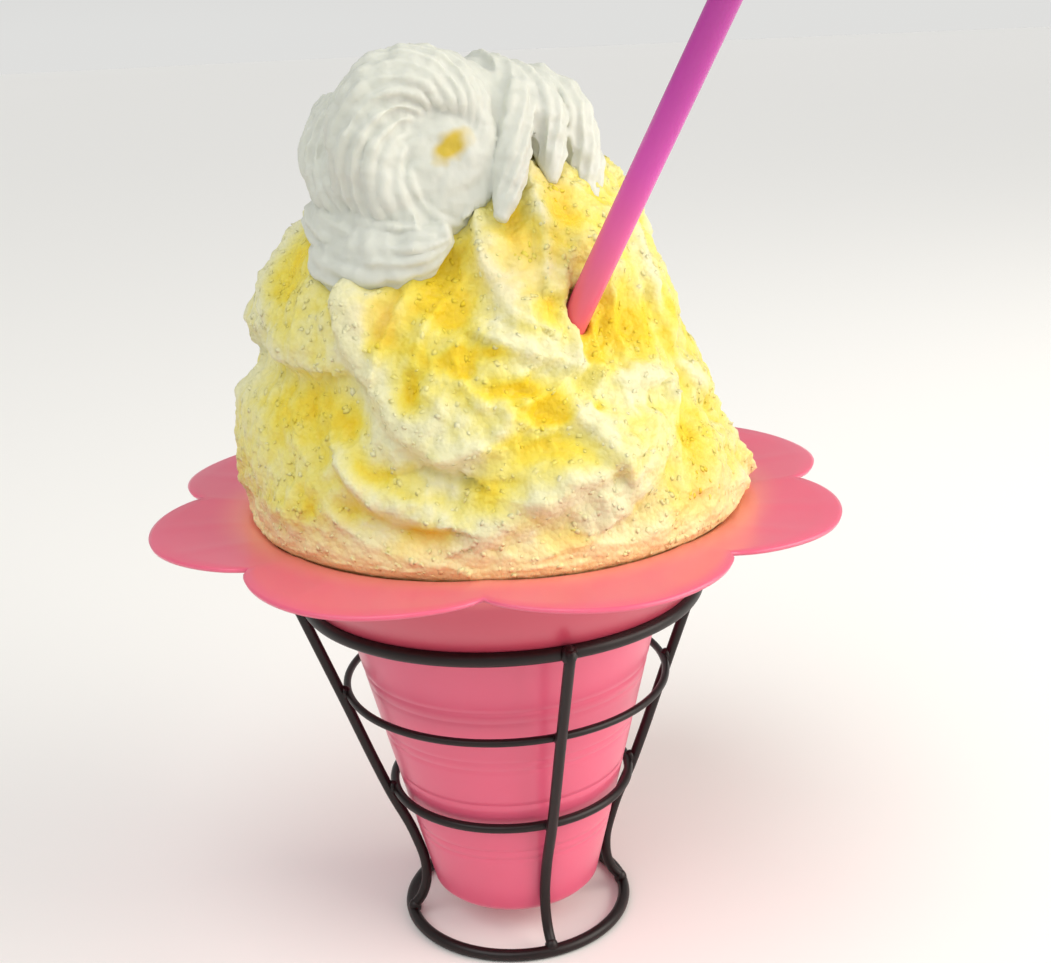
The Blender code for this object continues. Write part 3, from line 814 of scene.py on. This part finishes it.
# The other ropes, as places and rope radii: two under the curl, then four that fall to the right.
ROPES = (
    ((-33.5, -20.0, 85.0, 4.5), (-30.0, -29.0, 83.5, 7.0), (-21.0, -35.5, 84.5, 7.2),
     (-13.0, -38.0, 87.5, 5.5), (-7.0, -38.5, 91.0, 2.5)),
    ((-36.0, -16.0, 93.0, 4.0), (-31.0, -26.0, 91.5, 6.0), (-21.0, -34.0, 90.5, 6.0),
     (-12.0, -38.0, 93.0, 4.0)),
    ((-6.0, -3.0, 118.0, 6.0), (3.0, -11.0, 120.0, 6.0), (7.0, -21.0, 115.0, 5.5),
     (7.0, -29.0, 106.0, 4.5), (5.5, -34.5, 98.0, 3.4), (3.5, -36.5, 93.0, 1.4)),
    ((-3.0, -8.0, 118.0, 6.0), (7.0, -13.0, 118.5, 6.2), (13.5, -18.5, 112.0, 5.4),
     (15.0, -22.5, 104.0, 3.8), (15.0, -25.5, 98.5, 1.2)),
    ((-2.0, -6.0, 117.0, 7.0), (8.0, -9.0, 117.0, 7.2), (16.5, -11.5, 114.0, 6.6),
     (21.0, -14.0, 107.0, 5.4), (22.5, -17.0, 98.0, 4.0), (23.5, -21.0, 90.0, 1.4)),
    ((0.0, 2.0, 112.0, 7.0), (10.0, 0.0, 112.0, 7.0), (18.0, -4.0, 107.0, 5.5), (21.0, -8.0, 99.0, 4.0)),
)
ROPE_TWIST = 40.0  # degrees the flutes turn from one station to the next
CORE_SHRINK = 1.2  # so that the ropes lie proud of the middle


def star_nozzle(widest):
    """The closed outline of a rope of that radius, cut into flutes; the larger, the more."""
    star = bpy.data.curves.new("star_nozzle", "CURVE")
    star.dimensions = "2D"
    flutes = round(2 * math.pi * widest / FLUTES)
    outline = star.splines.new("POLY")
    outline.points.add(flutes * 6 - 1)
    for index, point in enumerate(outline.points):
        turn = 2 * math.pi * index / len(outline.points)
        cut = FLUTE_DEPTH / widest * (0.5 - 0.5 * math.cos(flutes * turn)) * (1.0 + 0.35 * math.cos(3 * turn))
        point.co = ((1.0 - cut) * math.cos(turn) * MM, (1.0 - cut) * math.sin(turn) * MM, 0.0, 1.0)
    outline.use_cyclic_u = True
    return new_object("star_nozzle", star)


def rope_mesh(stations):
    nozzle = star_nozzle(max(station[1] for station in stations))
    mesh = rod_mesh(stations, nozzle)
    bpy.data.objects.remove(nozzle)
    return mesh


eye_right = EYE_FACING.cross(Vector((0.0, 0.0, -1.0))).normalized()
eye_up = eye_right.cross(-EYE_FACING).normalized()
cream = bmesh.new()
for curl in (CURL, BACK_CURL):
    stations = []
    for index, (angle, distance, depth, rope) in enumerate(curl):
        turn = math.radians(angle)
        sideways = eye_right * math.cos(turn) + eye_up * math.sin(turn)
        stations.append((EYE + sideways * distance - EYE_FACING * depth + SEAT, rope, index * ROPE_TWIST))
    cream.from_mesh(rope_mesh(stations))
for rope in ROPES:
    stations = [(Vector(point[:3]) + SEAT, point[3], index * ROPE_TWIST) for index, point in enumerate(rope)]
    cream.from_mesh(rope_mesh(stations))
bmesh.ops.remove_doubles(cream, verts=cream.verts, dist=0.00001)
bmesh.ops.recalc_face_normals(cream, faces=cream.faces)
middle = bmesh.new()
middle.from_mesh(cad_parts["cream"].data)
bmesh.ops.remove_doubles(middle, verts=middle.verts, dist=0.00001)
middle.normal_update()
for vert in middle.verts:
    vert.co -= vert.normal * CORE_SHRINK * MM
mesh = bpy.data.meshes.new("cream_middle")
middle.to_mesh(mesh)
middle.free()
cream.from_mesh(mesh)
cream = remeshed(cream, CREAM_GRID)
bmesh.ops.smooth_vert(cream, verts=cream.verts, factor=0.5, use_axis_x=True, use_axis_y=True, use_axis_z=True)
cream.normal_update()
syrup_layer = cream.verts.layers.float.new("syrup")
for vert in cream.verts:
    here = vert.co / MM - SEAT
    vert.co += vert.normal * (0.9 * noise.noise(here / 8.0) + 0.6 * noise.noise(here / 3.2)) * MM
    vert.co += vert.normal * 0.15 * noise.noise(here / 1.4) * MM
    off = here - EYE
    aside, above = off.dot(eye_right), off.dot(eye_up)
    drop = bell(aside - 0.4, 4.6) * bell(above + 0.6 - 0.35 * aside, 3.1)
    drop *= bell(off.dot(EYE_FACING) + 4.0, 7.0)
    vert[syrup_layer] = min(1.0, max(0.0, 2.6 * drop - 0.7 + 0.5 * noise.noise(here / 2.0)))

# Whipped cream: dense cool white that varies a little, soft at the edges and slightly moist.
whip, tree, shader = new_material("piped_whipped_cream")
place = add_node(tree, "ShaderNodeTexCoord")
syrup = add_node(tree, "ShaderNodeAttribute", attribute_name="syrup")
cloud = add_node(
    tree, "ShaderNodeTexNoise", {"Scale": 110.0, "Detail": 3.0}, {"Vector": place.outputs["Object"]},
)
white = add_node(
    tree, "ShaderNodeMix", {"A": linear("#c6c9be"), "B": linear("#d3d5cc")},
    {"Factor": cloud.outputs["Fac"]}, data_type="RGBA",
)
yellow = add_node(
    tree, "ShaderNodeMix", {"B": linear("#c9b03a")},
    {"Factor": syrup.outputs["Fac"], "A": white.outputs["Result"]}, data_type="RGBA",
)
froth = add_node(
    tree, "ShaderNodeTexNoise", {"Scale": 800.0, "Detail": 3.0}, {"Vector": place.outputs["Object"]},
)
relief = add_node(
    tree, "ShaderNodeBump", {"Strength": 0.2, "Distance": 0.0003}, {"Height": froth.outputs["Fac"]},
)
shine = add_node(
    tree, "ShaderNodeMapRange", {"To Min": 0.38, "To Max": 0.58}, {"Value": cloud.outputs["Fac"]},
)
tree.links.new(yellow.outputs["Result"], shader.inputs["Base Color"])
tree.links.new(shine.outputs["Result"], shader.inputs["Roughness"])
tree.links.new(relief.outputs["Normal"], shader.inputs["Normal"])
shader.inputs["IOR"].default_value = 1.45
shader.inputs["Subsurface Weight"].default_value = 0.5
shader.inputs["Subsurface Radius"].default_value = (1.0, 0.95, 0.8)
shader.inputs["Subsurface Scale"].default_value = 0.0015
add_piece("piped_cream_swirl", cream, whip, "cream", "cream")


# ---- Straw ----
# A plain straight drinking straw, extruded in one thin wall and pushed deep into the ice. Its
# colour runs from purple at the top to coral where the ice lights it.
STRAW_RADIUS = 3.0
STRAW_WALL = 0.35
STRAW_BELOW = 108.0
STRAW_ABOVE = 89.0
STRAW_LENGTHS = 24

straw = bmesh.new()
place = Matrix.Translation((STRAW_ENTRY + SEAT - STRAW_DIRECTION * STRAW_BELOW) * MM) @ straw_turn
bmesh.ops.create_circle(straw, segments=40, radius=STRAW_RADIUS * MM, matrix=place)
wall_edges = straw.edges[:]
for _ in range(STRAW_LENGTHS):
    grown = bmesh.ops.extrude_edge_only(straw, edges=wall_edges)["geom"]
    wall_edges = [item for item in grown if isinstance(item, bmesh.types.BMEdge)]
    bmesh.ops.translate(
        straw, vec=STRAW_DIRECTION * (STRAW_BELOW + STRAW_ABOVE) / STRAW_LENGTHS * MM,
        verts=[item for item in grown if isinstance(item, bmesh.types.BMVert)],
    )
bmesh.ops.recalc_face_normals(straw, faces=straw.faces)

# Thin polypropylene tube: glossy, faintly uneven, with a little light sinking in.
tube, tree, shader = new_material("extruded_straw_polypropylene")
place = add_node(tree, "ShaderNodeTexCoord")
along = add_node(
    tree, "ShaderNodeVectorMath", {1: STRAW_DIRECTION}, {0: place.outputs["Object"]}, operation="DOT_PRODUCT",
)
entry_along = (STRAW_ENTRY + SEAT).dot(STRAW_DIRECTION) * MM
share = add_node(
    tree, "ShaderNodeMapRange",
    {"From Min": entry_along, "From Max": entry_along + STRAW_ABOVE * MM}, {"Value": along.outputs["Value"]},
)
STRAW_TINTS = (
    (0.0, "#e8606a"), (0.12, "#e06482"), (0.26, "#dd5b9c"), (0.42, "#cd4ba8"), (0.6, "#bb3f9f"),
    (1.0, "#a8338f"),
)
tint = add_node(tree, "ShaderNodeValToRGB", links={"Fac": share.outputs["Result"]})
blend_tints(tint.color_ramp, STRAW_TINTS)
drawn = add_node(
    tree, "ShaderNodeTexNoise", {"Scale": 240.0, "Detail": 2.0}, {"Vector": place.outputs["Object"]},
)
shine = add_node(
    tree, "ShaderNodeMapRange", {"To Min": 0.16, "To Max": 0.3}, {"Value": drawn.outputs["Fac"]},
)
relief = add_node(
    tree, "ShaderNodeBump", {"Strength": 0.08, "Distance": 0.0001}, {"Height": drawn.outputs["Fac"]},
)
tree.links.new(tint.outputs["Color"], shader.inputs["Base Color"])
tree.links.new(shine.outputs["Result"], shader.inputs["Roughness"])
tree.links.new(relief.outputs["Normal"], shader.inputs["Normal"])
shader.inputs["IOR"].default_value = 1.49
shader.inputs["Subsurface Weight"].default_value = 0.2
shader.inputs["Subsurface Radius"].default_value = (1.0, 0.5, 0.8)
shader.inputs["Subsurface Scale"].default_value = 0.0015
straw_piece = add_piece("straight_straw", straw, tube, "straw", "straw")
wall = straw_piece.modifiers.new("Wall", "SOLIDIFY")
wall.thickness = STRAW_WALL * MM
wall.offset = -1.0
wall.use_even_offset = True
